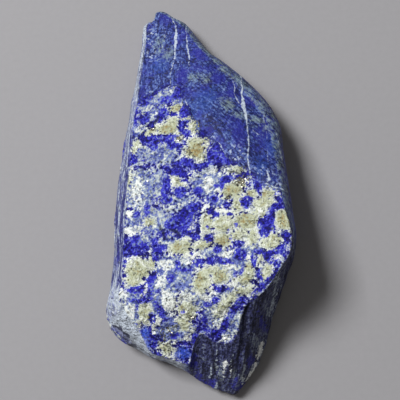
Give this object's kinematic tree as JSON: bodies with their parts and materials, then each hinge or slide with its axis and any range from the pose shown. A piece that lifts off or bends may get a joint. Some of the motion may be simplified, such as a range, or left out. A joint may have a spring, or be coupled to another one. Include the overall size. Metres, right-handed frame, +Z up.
{
  "type": "rough lapis lazuli",
  "caption": "Broken piece of rough blue stone with a pointed end, a thick fractured end, pale mineral patches and a flat resting face.",
  "frame": {"origin": "centre of the bounding box, on the plane the stone rests on", "axes": "+Y towards the pointed end, along the length; +X across the width, towards the higher side; +Z up"},
  "size_m": [0.0498, 0.108, 0.0239],
  "materials": {
    "lapis": "rough broken lapis: ultramarine grains with white calcite, cream patches, satin worn skin and dark fibrous fracture",
    "pyrite": "small brassy grains set in the stone's surface"
  },
  "bodies": {
    "root": {"lapis_stone": "lapis"}
  },
  "joints": []
}
